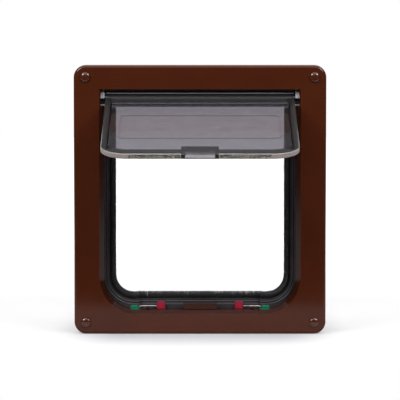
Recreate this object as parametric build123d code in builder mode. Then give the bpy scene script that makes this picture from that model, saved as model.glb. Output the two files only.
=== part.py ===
from build123d import *
from math import cos, radians, sin
import os

# Cat flap for a house door, in millimetres.
# X runs to the right as seen from the room, Y runs through the door away from the room, Z is up.
# The origin is the middle of the inner frame's door side, in the face that lies on the door.

# The frame on the room side
frame_w = 270.0
frame_h = 289.0
frame_d = 15.0
frame_corner = 13.0
frame_edge = 3.0
skin = 3.0
border_side = 27.0
border_top = 25.5
border_low = 21.1

# The bevel round the front of the opening, and the straight tunnel behind it
bevel_side = 5.4
bevel_top = 2.0
bevel_low = 4.4
bevel_depth = 4.7
open_low_corner = 40.0
tunnel_low_corner = 34.0
tunnel_wall = 5.0
stub_wall = 2.4
stub_depth = 2.5
shelf_depth = 11.0
shelf_drop = 9.0
slide_gap = 0.3
flap_rise = 8.8
rib = 1.6
cut_over = 1.0

# The frame on the far side of the door
door_thickness = 40.0
far_shrink = 6.0
far_d = 10.0
sleeve_wall = 3.0
sleeve_lap = 0.5
sleeve_corner = 28.0

# The flap and its hinge
rest_angle = 78.0
hinge_drop = 9.6
barrel_r = 6.4
barrel_end_gap = 0.6
lip_t = 1.2
lip_gap = 0.3
flap_side_gap = 1.6
flap_sheet = 1.8
flap_border = 5.6
flap_corner = 28.0
border_w_side = 7.7
border_w_low = 16.8
border_w_top = 26.0
bead_w = 4.0
flap_edge = 0.8
pocket_w = 38.0
pocket_h = 28.0
panel_w = 168.0
panel_h = 87.0
panel_from_hinge = 69.0
panel_corner = 7.0
panel_line = 1.4
panel_rise = 0.5

# Hinge rod and bearing blocks
rod_d = 4.0
rod_play = 0.05
rod_end_gap = 0.6
rod_bevel = 0.4
bearing_proud = 0.4
bearing_drop = 6.4
bearing_w = 4.2
bearing_h = 15.2
bearing_front = 9.0
bearing_step = 6.2
bearing_throat = 3.0
bearing_back = 4.8
bearing_head = 7.2
bearing_lip = 1.2
bearing_play = 0.2
box_wall = 2.4

# Draught brush behind the flap
holder_gap = 0.2
holder_depth = 8.2
holder_lip = 0.2
holder_low = 4.1
brush_from_flap = 0.5
brush_thick = 4.0
brush_root = 1.2
brush_side = 11.6
brush_low = 16.3
brush_corner = 20.0
brush_from_bearing = 4.0
side_run_end = 23.0
centre_thick = 2.2
centre_wall = 0.8

# Lock tabs that slide up in front of the flap (green) or behind it (red)
tab_gap = 0.5
tab_t = 2.4
tab_play = 0.3
tab_corner = 1.2
nib = 1.2
nib_h = 1.6
foot_over = 1.3
foot_h = 1.6
sill_skin = 1.8
green_inset = 32.2
green_w = 8.4
green_drop = 4.4
green_lift = 8.0
red_from_green = 28.4
red_w = 8.5
red_drop = 1.5
red_lift = 5.0
wire_d = 1.8
wire_play = 0.05
wire_end_gap = 0.9
wire_rise = 3.0
wire_fall = 0.9
post_w = 4.0

# Magnets and the pile strips in the flap's lower edge
magnet_l = 30.0
magnet_h = 8.0
magnet_t = 3.0
magnet_play = 0.1
plug_h = 1.6
pile_from_pocket = 1.0
pile_inset = 29.0
pile_h = 2.5
pile_t = 4.0
cover_l = 36.0
cover_w = 8.0
cover_h = 6.5
cover_wall = 1.2

# Fixing screws and their caps
screw_inset = 12.5
screw_d = 4.0
screw_head_d = 7.6
screw_head_h = 2.6
screw_slot = 1.0
screw_slot_d = 1.2
screw_seat = 9.0
screw_bite = 6.5
screw_play = 0.1
boss_w = 12.0
far_boss_w = 10.0
cap_d = 10.5
cap_h = 3.0
cap_rim = 0.9
cap_bevel = 2.6
cap_peg_w = 5.4
cap_head_gap = 0.8

# Sizes that follow from the ones above
open_half = frame_w / 2 - border_side
open_top = frame_h / 2 - border_top
open_low = border_low - frame_h / 2
tunnel_half = open_half - bevel_side
tunnel_top = open_top - bevel_top
tunnel_low = open_low + bevel_low
bevel_y = bevel_depth - frame_d
shelf_low = tunnel_low - shelf_drop
hinge_z = tunnel_top - hinge_drop
wire_z = tunnel_low + wire_rise
flap_low = tunnel_low + flap_rise
flap_len = hinge_z - flap_low
flap_half = tunnel_half - flap_side_gap
barrel_half = flap_half - barrel_end_gap
lip_low = hinge_z + barrel_r + lip_gap
tab_y = flap_border / 2 + tab_gap
green_x = tunnel_half - green_inset
red_x = green_x - red_from_green
sill_under = tunnel_low - sill_skin
shelf_half = green_x + green_w / 2 + foot_over + tab_play + skin
holder_y = stub_depth + holder_gap
brush_y = flap_border / 2 + brush_from_flap
run_end = red_x + side_run_end
pile_in = pocket_w / 2 + pile_from_pocket
pile_out = flap_half - pile_inset
bearing_x = tunnel_half - bearing_proud
bearing_low = hinge_z - bearing_drop
screw_x = frame_w / 2 - screw_inset
screw_z = frame_h / 2 - screw_inset
far_w = frame_w - far_shrink
far_h = frame_h - far_shrink
far_y = door_thickness + far_d
os.makedirs("parts", exist_ok=True)


def at_depth(y):
    """The upright plane at depth y, drawn in X and Z."""
    return Plane.XZ.offset(-y)


def doorway(half, low, high, corner, how=Mode.ADD):
    """An opening with round lower corners and square upper ones."""
    with BuildLine() as path:
        Line((-half + corner, low), (half - corner, low))
        JernArc((half - corner, low), (1, 0), corner, 90)
        Polyline((half, low + corner), (half, high), (-half, high), (-half, low + corner))
        JernArc((-half, low + corner), (0, -1), corner, 90)
    make_face(path.edges(), mode=how)


def tunnel(grow=0.0, how=Mode.ADD):
    """The tunnel's outline, grown outwards all round."""
    corner = tunnel_low_corner + grow
    doorway(tunnel_half + grow, tunnel_low - grow, tunnel_top + grow, corner, how)


def tunnel_block(how=Mode.ADD):
    """The outline of the walls round the tunnel, inside a frame's hollow."""
    doorway(tunnel_half + tunnel_wall, shelf_low, open_top + bevel_top, open_low_corner, how)


def slab(x0, x1, y0, y1, z0, z1, how=Mode.ADD):
    """A plain block between two corners."""
    with BuildSketch(at_depth(y1)) as outline:
        with Locations(((x0 + x1) / 2, (z0 + z1) / 2)):
            Rectangle(abs(x1 - x0), z1 - z0)
    extrude(outline.sketch, amount=y1 - y0, mode=how)


def rounds(spots, d, y0, y1, how=Mode.ADD):
    """Round bars or holes along the depth, one at each spot."""
    with BuildSketch(at_depth(y1)) as outline:
        with Locations(*spots):
            Circle(d / 2)
    extrude(outline.sketch, amount=y1 - y0, mode=how)


def squares(spots, w, y0, y1, how=Mode.ADD):
    """Square bars along the depth, one at each spot."""
    with BuildSketch(at_depth(y1)) as outline:
        with Locations(*spots):
            Rectangle(w, w)
    extrude(outline.sketch, amount=y1 - y0, mode=how)


corners = [(sx * screw_x, sz * screw_z) for sx in (-1, 1) for sz in (-1, 1)]

# Each spring wire runs aslant from the red tab's side up to the green tab's side
wire_in = red_x + red_w / 2 + wire_end_gap
wire_out = green_x - green_w / 2 - wire_end_gap
wire_x = (wire_in + wire_out) / 2
wire_y = tab_y + tab_t / 2
wire_len = Vector(wire_out - wire_in, -2 * wire_y, wire_fall).length


def wire_plane(side):
    """The plane square to a spring wire at its end by the red tab."""
    along = (side * (wire_out - wire_in), -2 * wire_y, wire_fall)
    start = (side * wire_in, wire_y, wire_z - wire_fall / 2)
    return Plane(origin=start, x_dir=(0, 1, 0), z_dir=along)


# Inner frame: a hollow moulding with a bevelled opening, a lip over the hinge, a sill shelf and hinge boxes
box_out = bearing_x + bearing_w + bearing_play + box_wall
box_low = bearing_low - bearing_play - box_wall / 2
box_high = bearing_low + bearing_h + bearing_play + box_wall
box_back = bearing_back + bearing_play + box_wall
hollow_y = skin - frame_d
with BuildPart() as inner_frame:
    with BuildSketch(at_depth(0)):
        RectangleRounded(frame_w, frame_h, frame_corner)
    extrude(amount=frame_d)
    fillet(inner_frame.faces().sort_by(Axis.Y)[0].edges(), frame_edge)
    with BuildSketch(at_depth(0)):
        RectangleRounded(frame_w - 2 * skin, frame_h - 2 * skin, frame_corner - skin)
        tunnel_block(Mode.SUBTRACT)
    extrude(amount=-hollow_y, mode=Mode.SUBTRACT)
    for place in (-0.5, 0, 0.5):
        spot = place * frame_h / 2
        for side in (-1, 1):
            rib_in = side * (open_half - cut_over)
            slab(rib_in, side * (frame_w / 2 - skin), hollow_y, -skin, spot, spot + rib)
    for place in (-0.2, 0.2):
        spot = place * frame_w
        slab(spot, spot + rib, hollow_y, -skin, open_top, frame_h / 2 - skin)
        slab(spot, spot + rib, hollow_y, -skin, skin - frame_h / 2, shelf_low + cut_over)
    squares(corners, boss_w, hollow_y - cut_over, 0)
    for side in (-1, 1):
        slab(side * tunnel_half, side * box_out, bevel_y, box_back, box_low, box_high)
    with BuildSketch(at_depth(stub_depth)):
        tunnel(stub_wall)
        tunnel(0.0, Mode.SUBTRACT)
    extrude(amount=stub_depth)
    slab(-shelf_half, shelf_half, -skin, shelf_depth, shelf_low, tunnel_low)
    with BuildSketch(at_depth(bevel_y)):
        tunnel()
    with BuildSketch(at_depth(-frame_d)):
        doorway(open_half, open_low, open_top, open_low_corner)
    loft(ruled=True, mode=Mode.SUBTRACT)
    with BuildSketch(at_depth(stub_depth)):
        tunnel()
    extrude(amount=stub_depth - bevel_y, mode=Mode.SUBTRACT)
    lip_high = tunnel_top + cut_over
    slab(-tunnel_half, tunnel_half, stub_depth - lip_t, stub_depth, lip_low, lip_high)
    for side in (-1, 1):
        pocket_out = side * (bearing_x + bearing_w + bearing_play)
        pocket_low = bearing_low - bearing_play
        pocket_high = bearing_low + bearing_h + bearing_play
        pocket_back = bearing_back + bearing_play
        slab(
            side * (tunnel_half - cut_over),
            pocket_out,
            -frame_d,
            pocket_back,
            pocket_low,
            pocket_high,
            Mode.SUBTRACT,
        )
        for middle, width, near in ((green_x, green_w, -tab_y - tab_t), (red_x, red_w, tab_y)):
            low_y = near - tab_play
            high_y = near + tab_t + tab_play
            half = width / 2 + tab_play
            wide = half + foot_over
            x0 = side * middle
            under = sill_under - cut_over
            over = tunnel_low + 2 * cut_over
            slab(x0 - half, x0 + half, low_y, high_y, under, over, Mode.SUBTRACT)
            slab(x0 - wide, x0 + wide, low_y, high_y, shelf_low, sill_under, Mode.SUBTRACT)
        x0 = side * wire_x - post_w / 2
        slab(x0, x0 + post_w, -post_w / 2, post_w / 2, tunnel_low - cut_over, wire_z)
        with BuildSketch(wire_plane(side)):
            Circle(wire_d / 2 + wire_play)
        extrude(amount=wire_len, mode=Mode.SUBTRACT)
    rounds(corners, screw_d + 4 * screw_play, -frame_d, 0, Mode.SUBTRACT)
    rounds(corners, screw_head_d + 4 * screw_play, -frame_d, -screw_seat, Mode.SUBTRACT)

# Outer frame: the flange on the far side and the sleeve that reaches back through the door
with BuildPart() as outer_frame:
    with BuildSketch(at_depth(far_y)):
        RectangleRounded(far_w, far_h, frame_corner)
    extrude(amount=far_d)
    chamfer(outer_frame.faces().sort_by(Axis.Y)[-1].edges(), frame_edge)
    with BuildSketch(at_depth(far_y - skin)):
        RectangleRounded(far_w - 2 * skin, far_h - 2 * skin, frame_corner - skin)
        tunnel_block(Mode.SUBTRACT)
    extrude(amount=far_d - skin, mode=Mode.SUBTRACT)
    squares(corners, far_boss_w, door_thickness, far_y - skin / 2)
    cavity_half = tunnel_half + stub_wall + slide_gap
    cavity_low = shelf_low - slide_gap
    cavity_top = tunnel_top + stub_wall + slide_gap
    mouth = shelf_depth + slide_gap + sleeve_wall
    with BuildSketch(at_depth(mouth)):
        doorway(
            cavity_half + sleeve_wall,
            cavity_low - sleeve_wall,
            cavity_top + sleeve_wall,
            sleeve_corner + sleeve_wall,
        )
    extrude(amount=mouth - sleeve_lap)
    with BuildSketch(at_depth(door_thickness + cut_over)):
        tunnel(sleeve_wall)
    extrude(amount=door_thickness - mouth + 2 * cut_over)
    with BuildSketch(at_depth(far_y)):
        tunnel()
    extrude(amount=far_y - sleeve_lap, mode=Mode.SUBTRACT)
    with BuildSketch(at_depth(far_y)):
        doorway(open_half, open_low, open_top, open_low_corner)
    with BuildSketch(at_depth(far_y - bevel_depth)):
        tunnel()
    loft(ruled=True, mode=Mode.SUBTRACT)
    with BuildSketch(at_depth(shelf_depth + slide_gap)):
        doorway(cavity_half, cavity_low, cavity_top, sleeve_corner)
    extrude(amount=shelf_depth + slide_gap, mode=Mode.SUBTRACT)
    for side in (-1, 1):
        slab(
            side * (tunnel_half - cut_over),
            side * (box_out + cut_over),
            0,
            box_back + slide_gap,
            box_low - slide_gap,
            cavity_top + sleeve_wall + cut_over,
            Mode.SUBTRACT,
        )
    rounds(corners, screw_d + screw_play, door_thickness, door_thickness + screw_bite, Mode.SUBTRACT)

# Flap, drawn in its own plane and stored raised: up the flap is +Y of this plane
tilt = radians(rest_angle)
flap_plane = Plane(origin=(0, 0, hinge_z), x_dir=(1, 0, 0), z_dir=(0, -cos(tilt), sin(tilt)))


def on_flap(height):
    """A plane over the flap's middle plane."""
    return flap_plane.offset(height)


with BuildPart() as flap_panel:
    with BuildSketch(on_flap(-flap_sheet / 2)):
        doorway(flap_half, -flap_len, -barrel_r / 2, flap_corner)
    extrude(amount=flap_sheet)
    with BuildSketch(on_flap(-flap_border / 2)):
        doorway(flap_half, -flap_len, -barrel_r / 2, flap_corner)
        doorway(
            flap_half - border_w_side,
            border_w_low - flap_len,
            -border_w_top,
            flap_corner - border_w_side,
            Mode.SUBTRACT,
        )
        with Locations((0, (bead_w - border_w_top) / 2)):
            Rectangle(2 * (flap_half - border_w_side), border_w_top - bead_w, mode=Mode.SUBTRACT)
        with Locations((0, pocket_h / 2 - flap_len)):
            Rectangle(pocket_w, pocket_h)
    extrude(amount=flap_border)
    layers = flap_panel.faces().sort_by(Axis((0, 0, hinge_z), flap_plane.z_dir))
    chamfer(layers[0].edges() + layers[-1].edges(), flap_edge)
    with BuildSketch(on_flap(flap_sheet / 2)):
        with Locations((0, -panel_from_hinge - panel_h / 2)):
            RectangleRounded(panel_w, panel_h, panel_corner)
            RectangleRounded(
                panel_w - 2 * panel_line,
                panel_h - 2 * panel_line,
                panel_corner - panel_line,
                mode=Mode.SUBTRACT,
            )
    extrude(amount=panel_rise)
    with BuildSketch(Plane.YZ.offset(-barrel_half)):
        with Locations((0, hinge_z)):
            Circle(barrel_r)
    extrude(amount=2 * barrel_half)
    with BuildSketch(Plane.YZ.offset(-barrel_half)):
        with Locations((0, hinge_z)):
            Circle(rod_d / 2)
    extrude(amount=2 * barrel_half, mode=Mode.SUBTRACT)
    for side in (-1, 1):
        with BuildSketch(on_flap(-pile_t / 2)):
            with Locations((side * (pile_in + pile_out) / 2, pile_h / 2 - flap_len)):
                Rectangle(pile_out - pile_in, pile_h)
        extrude(amount=pile_t, mode=Mode.SUBTRACT)
    with BuildSketch(on_flap(-magnet_t / 2 - magnet_play)):
        with Locations((0, (magnet_h + plug_h) / 2 - flap_len)):
            Rectangle(magnet_l + 2 * magnet_play, magnet_h + plug_h)
    extrude(amount=magnet_t + 2 * magnet_play, mode=Mode.SUBTRACT)

with BuildPart() as flap_magnet:
    with BuildSketch(on_flap(-magnet_t / 2)):
        with Locations((0, plug_h + magnet_h / 2 - flap_len)):
            Rectangle(magnet_l, magnet_h)
    extrude(amount=magnet_t)

with BuildPart() as magnet_plug:
    with BuildSketch(on_flap(-magnet_t / 2)):
        with Locations((0, plug_h / 2 - flap_len)):
            Rectangle(magnet_l, plug_h)
    extrude(amount=magnet_t)


def pile_strip(side):
    """The soft strip let into one half of the flap's lower edge."""
    with BuildSketch(on_flap(-pile_t / 2 + magnet_play)) as outline:
        with Locations((side * (pile_in + pile_out) / 2, pile_h / 2 - flap_len)):
            Rectangle(pile_out - pile_in - 2 * magnet_play, pile_h)
    extrude(outline.sketch, amount=pile_t - 2 * magnet_play)


with BuildPart() as pile_strip_left:
    pile_strip(-1)
with BuildPart() as pile_strip_right:
    pile_strip(1)


# Steel rod through the whole barrel, tight there and free in the bearings
rod_half = bearing_x + bearing_w - rod_end_gap
with BuildPart() as hinge_rod:
    with BuildSketch(Plane.YZ.offset(-rod_half)):
        with Locations((0, hinge_z)):
            Circle(rod_d / 2)
    extrude(amount=2 * rod_half)
    chamfer(hinge_rod.faces().sort_by(Axis.X)[0].edges(), rod_bevel)
    chamfer(hinge_rod.faces().sort_by(Axis.X)[-1].edges(), rod_bevel)


def hinge_bearing(side):
    """A light block in the frame's top corner, with a notched front through which the rod snaps in."""
    inner = side * bearing_x
    outer = side * (bearing_x + bearing_w)
    high = bearing_low + bearing_h
    step_y = bearing_step - bearing_front
    slab(inner, outer, step_y, bearing_back, bearing_low, high)
    slab(inner, outer, -bearing_front, step_y, high - bearing_head, high)
    slab(inner, outer, -bearing_front, step_y, bearing_low, bearing_low + bearing_lip)
    with BuildSketch(Plane.YZ.offset(inner)) as outline:
        with Locations((0, hinge_z)):
            Circle(rod_d / 2 + rod_play)
    extrude(outline.sketch, amount=side * bearing_w, mode=Mode.SUBTRACT)
    throat_low = hinge_z - bearing_throat / 2
    slab(inner, outer, step_y, 0, throat_low, throat_low + bearing_throat, Mode.SUBTRACT)


with BuildPart() as hinge_bearing_left:
    hinge_bearing(-1)
with BuildPart() as hinge_bearing_right:
    hinge_bearing(1)

# Draught brush: two J-shaped runs at the sides and one along the sill, set back behind the lock tabs
holder_in = tunnel_half - holder_lip
holder_out = tunnel_half + stub_wall + slide_gap / 2
holder_floor = tunnel_low + holder_lip
holder_top = bearing_low - brush_from_bearing
root_out = holder_in + brush_root
root_corner = tunnel_low_corner - brush_root - holder_lip
run_low = tunnel_low + holder_low
root_low = run_low - brush_root
brush_z = tunnel_low + brush_low


def side_run(side, half_in, half_out, low_in, low_out, r_in, r_out, y0, depth):
    """One side and lower corner of a ring, cut off beside the lock."""
    with BuildSketch(at_depth(y0 + depth)) as outline:
        doorway(half_out, low_out, holder_top, r_out)
        doorway(half_in, low_in, holder_top + cut_over, r_in, Mode.SUBTRACT)
        with Locations((side * run_end, 0)):
            Rectangle(
                2 * frame_w,
                2 * frame_h,
                align=(Align.MIN if side > 0 else Align.MAX, Align.CENTER),
                mode=Mode.INTERSECT,
            )
    extrude(outline.sketch, amount=depth)


def brush_holder(side):
    """The strip that grips the bristles of one side."""
    side_run(
        side,
        holder_in,
        holder_out,
        run_low,
        holder_floor,
        tunnel_low_corner - holder_low,
        tunnel_low_corner,
        holder_y,
        holder_depth,
    )
    with BuildSketch(at_depth(brush_y + brush_thick)) as slot:
        doorway(root_out, root_low, holder_top + cut_over, root_corner)
    extrude(slot.sketch, amount=brush_thick, mode=Mode.SUBTRACT)


def brush_pile(side):
    """The bristles of one side, rooted in the strip's slot."""
    side_run(
        side,
        tunnel_half - brush_side,
        root_out,
        brush_z,
        root_low,
        brush_corner,
        root_corner,
        brush_y,
        brush_thick,
    )


with BuildPart() as brush_holder_left:
    brush_holder(-1)
with BuildPart() as brush_holder_right:
    brush_holder(1)
with BuildPart() as brush_pile_left:
    brush_pile(-1)
with BuildPart() as brush_pile_right:
    brush_pile(1)

centre_half = run_end - holder_gap
centre_front = tab_y + tab_t + nib + tab_play
centre_y = centre_front + centre_wall
centre_back = centre_y + centre_thick
with BuildPart() as brush_holder_centre:
    slab(-centre_half, centre_half, centre_front, centre_back + centre_wall, tunnel_low, run_low)
    slab(-centre_half, centre_half, centre_y, centre_back, root_low, run_low, Mode.SUBTRACT)
with BuildPart() as brush_pile_centre:
    slab(-centre_half, centre_half, centre_y, centre_back, root_low, brush_z)


# Lock: on each side a green tab that can stand in front of the flap and a red one that can stand behind it
def tab(middle, width, near, way, drop, lift):
    """A flat tab with a finger nib on top and a foot that stops it under the sill."""
    high = flap_low - drop
    foot_top = sill_under - lift
    with BuildSketch(at_depth(near + tab_t)) as outline:
        with Locations((middle, (high + foot_top - foot_h) / 2)):
            RectangleRounded(width, high - foot_top + foot_h, tab_corner)
        with Locations((middle, foot_top - foot_h / 2)):
            Rectangle(width + 2 * foot_over, foot_h)
    extrude(outline.sketch, amount=tab_t)
    edge = near if way < 0 else near + tab_t
    low_y = min(edge, edge + way * nib)
    half = width / 2 - tab_corner
    slab(middle - half, middle + half, low_y, low_y + nib, high - nib_h, high)


def green_tab(side):
    """The tab that keeps the flap from swinging into the room."""
    tab(side * green_x, green_w, -tab_y - tab_t, -1, green_drop, green_lift)


def red_tab(side):
    """The tab that keeps the flap from swinging away from the room."""
    tab(side * red_x, red_w, tab_y, 1, red_drop, red_lift)


with BuildPart() as green_tab_left:
    green_tab(-1)
with BuildPart() as green_tab_right:
    green_tab(1)
with BuildPart() as red_tab_left:
    red_tab(-1)
with BuildPart() as red_tab_right:
    red_tab(1)


def lock_spring(side):
    """The straight wire whose ends bear on the sides of both tabs."""
    with BuildSketch(wire_plane(side)) as outline:
        Circle(wire_d / 2)
    extrude(outline.sketch, amount=wire_len)


with BuildPart() as lock_spring_left:
    lock_spring(-1)
with BuildPart() as lock_spring_right:
    lock_spring(1)

# Sill magnet under a low cover in the middle of the sill
cover_y = holder_y - holder_gap - cover_w
with BuildPart() as sill_magnet_cover:
    slab(-cover_l / 2, cover_l / 2, cover_y, cover_y + cover_w, tunnel_low, tunnel_low + cover_h)
    fillet(sill_magnet_cover.faces().sort_by(Axis.Z)[-1].edges(), cover_wall / 2)
    slab(
        cover_wall - cover_l / 2,
        cover_l / 2 - cover_wall,
        cover_y + cover_wall,
        cover_y + cover_w - cover_wall,
        tunnel_low,
        tunnel_low + cover_h - cover_wall,
        Mode.SUBTRACT,
    )
with BuildPart() as sill_magnet:
    slab(
        -magnet_l / 2,
        magnet_l / 2,
        cover_y + cover_wall + magnet_play,
        cover_y + cover_w - cover_wall - magnet_play,
        tunnel_low,
        tunnel_low + cover_h - cover_wall,
    )

# Four long screws through the door, each under a cap with a square peg
head_y = -screw_seat - screw_head_h
with BuildPart() as fixing_screws:
    rounds(corners, screw_d, -screw_seat, door_thickness + screw_bite)
    rounds(corners, screw_head_d, head_y, -screw_seat)
    for x, z in corners:
        low_z = z - screw_slot / 2
        high_z = z + screw_slot / 2
        reach = screw_head_d / 2
        slab(x - reach, x + reach, head_y, head_y + screw_slot_d, low_z, high_z, Mode.SUBTRACT)

cap_y = -frame_d - cap_h
with BuildPart() as screw_caps:
    rounds(corners, cap_d, cap_y, -frame_d)
    chamfer(screw_caps.faces().group_by(Axis.Y)[0].edges(), cap_h - cap_rim, cap_bevel)
    squares(corners, cap_peg_w, -frame_d, head_y - cap_head_gap)

pieces = {
    "inner_frame": inner_frame,
    "outer_frame": outer_frame,
    "hinge_bearing_left": hinge_bearing_left,
    "hinge_bearing_right": hinge_bearing_right,
    "brush_holder_left": brush_holder_left,
    "brush_holder_right": brush_holder_right,
    "brush_holder_centre": brush_holder_centre,
    "brush_pile_left": brush_pile_left,
    "brush_pile_right": brush_pile_right,
    "brush_pile_centre": brush_pile_centre,
    "lock_spring_left": lock_spring_left,
    "lock_spring_right": lock_spring_right,
    "green_tab_left": green_tab_left,
    "green_tab_right": green_tab_right,
    "red_tab_left": red_tab_left,
    "red_tab_right": red_tab_right,
    "flap_panel": flap_panel,
    "hinge_rod": hinge_rod,
    "flap_magnet": flap_magnet,
    "magnet_plug": magnet_plug,
    "pile_strip_left": pile_strip_left,
    "pile_strip_right": pile_strip_right,
    "sill_magnet": sill_magnet,
    "sill_magnet_cover": sill_magnet_cover,
    "fixing_screws": fixing_screws,
    "screw_caps": screw_caps,
}
for name, piece in pieces.items():
    piece.part.label = name
    export_step(piece.part, f"parts/{name}.step")
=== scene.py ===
"""Looks of a cat flap for a house door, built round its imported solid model.

Lengths are metres in the model's own frame: +X to the right as seen from the room,
+Y through the door away from the room, +Z up. The frame stands on the floor and the
flap is raised towards the room.
"""

import logging
import math
from dataclasses import dataclass
from enum import Enum

import bpy
import numpy as np
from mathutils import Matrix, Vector


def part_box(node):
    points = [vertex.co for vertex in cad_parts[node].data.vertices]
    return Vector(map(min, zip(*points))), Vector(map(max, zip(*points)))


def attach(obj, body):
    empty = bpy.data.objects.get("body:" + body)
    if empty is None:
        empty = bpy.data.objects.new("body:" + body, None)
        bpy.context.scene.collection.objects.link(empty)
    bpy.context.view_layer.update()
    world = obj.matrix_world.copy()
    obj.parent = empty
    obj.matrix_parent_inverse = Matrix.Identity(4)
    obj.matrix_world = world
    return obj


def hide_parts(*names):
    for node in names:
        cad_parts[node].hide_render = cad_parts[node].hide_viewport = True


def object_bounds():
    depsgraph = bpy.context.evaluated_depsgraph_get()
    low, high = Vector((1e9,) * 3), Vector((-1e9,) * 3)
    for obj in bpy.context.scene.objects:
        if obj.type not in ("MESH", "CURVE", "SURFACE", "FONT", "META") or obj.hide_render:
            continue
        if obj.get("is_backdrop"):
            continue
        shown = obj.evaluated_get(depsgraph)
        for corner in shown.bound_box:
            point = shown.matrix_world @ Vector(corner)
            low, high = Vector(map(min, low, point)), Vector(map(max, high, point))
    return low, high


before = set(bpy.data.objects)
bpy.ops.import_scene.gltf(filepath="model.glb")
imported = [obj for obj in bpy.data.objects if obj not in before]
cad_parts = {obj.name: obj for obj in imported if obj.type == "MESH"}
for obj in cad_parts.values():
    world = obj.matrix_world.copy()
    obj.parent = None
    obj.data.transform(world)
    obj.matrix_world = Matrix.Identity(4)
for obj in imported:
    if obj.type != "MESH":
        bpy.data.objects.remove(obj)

LOG = logging.getLogger("cat_flap")
MM = 0.001

Array = np.ndarray
Colour = tuple[float, float, float]
Triple = tuple[float, float, float]
Span = tuple[float, float]
Socket = bpy.types.NodeSocket
Tree = bpy.types.NodeTree

# How far the stored pose raises the flap from closed.
RAISED = math.radians(78.0)
# How strongly plastic bends light.
PLASTIC_IOR = 1.49
# The range that most values of a noise lie in.
CLOUDS: Span = (0.3, 0.7)
# Sockets of the nodes that carry a range and that mix two colours.
RANGE_ENDS = ("From Min", "From Max", "To Min", "To Max")
MIX_SHARE, MIX_LOW, MIX_HIGH, MIX_RESULT = 0, 6, 7, 2


class Side(Enum):
    """The two sides of the frame, as seen from the room."""

    LEFT = -1
    RIGHT = 1

    @property
    def word(self) -> str:
        """The side's name as the model's nodes spell it."""
        return self.name.lower()


class Seed(Enum):
    """Seeds of the unevenness of the fibres; a side's run adds its own 1 or -1."""

    SIDE_PLACES = 11
    SIDE_BRISTLES = 21
    CENTRE_PLACES = 31
    CENTRE_BRISTLES = 41
    PILE = 51


def figure(tree: Tree, operation: str, *values: object) -> Socket:
    """Joins numbers or sockets by one operation.

    Args:
        tree: The node tree.
        operation: The operation's name.
        values: Numbers or output sockets.

    Returns:
        The result, as an output socket.
    """
    node = tree.nodes.new("ShaderNodeMath")
    node.operation = operation
    for slot, value in zip(node.inputs, values):
        if isinstance(value, Socket):
            tree.links.new(value, slot)
        else:
            slot.default_value = value
    return node.outputs[0]


def ramp(tree: Tree, value: Socket, source: Span, target: Span, smooth: bool = True) -> Socket:
    """Carries a number from one range to another, held at the ends.

    Args:
        tree: The node tree.
        value: The number.
        source: Its range.
        target: The range it goes to.
        smooth: Whether it starts and ends softly.

    Returns:
        The new number, as an output socket.
    """
    node = tree.nodes.new("ShaderNodeMapRange")
    node.interpolation_type = "SMOOTHSTEP" if smooth else "LINEAR"
    for key, number in zip(RANGE_ENDS, source + target):
        node.inputs[key].default_value = number
    tree.links.new(value, node.inputs["Value"])
    return node.outputs["Result"]


def seen_directly(tree: Tree, mirror: Socket) -> Socket:
    """How much of a point's own white is seen.

    Args:
        tree: The node tree.
        mirror: The share of it that mirrors show.

    Returns:
        1 to the eye and through clear parts, the given share in mirrors, else 0.
    """
    rays = tree.nodes.new("ShaderNodeLightPath").outputs
    plain = figure(tree, "MAXIMUM", rays["Is Camera Ray"], rays["Is Transmission Ray"])
    return figure(tree, "MAXIMUM", plain, figure(tree, "MULTIPLY", rays["Is Glossy Ray"], mirror))


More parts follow.
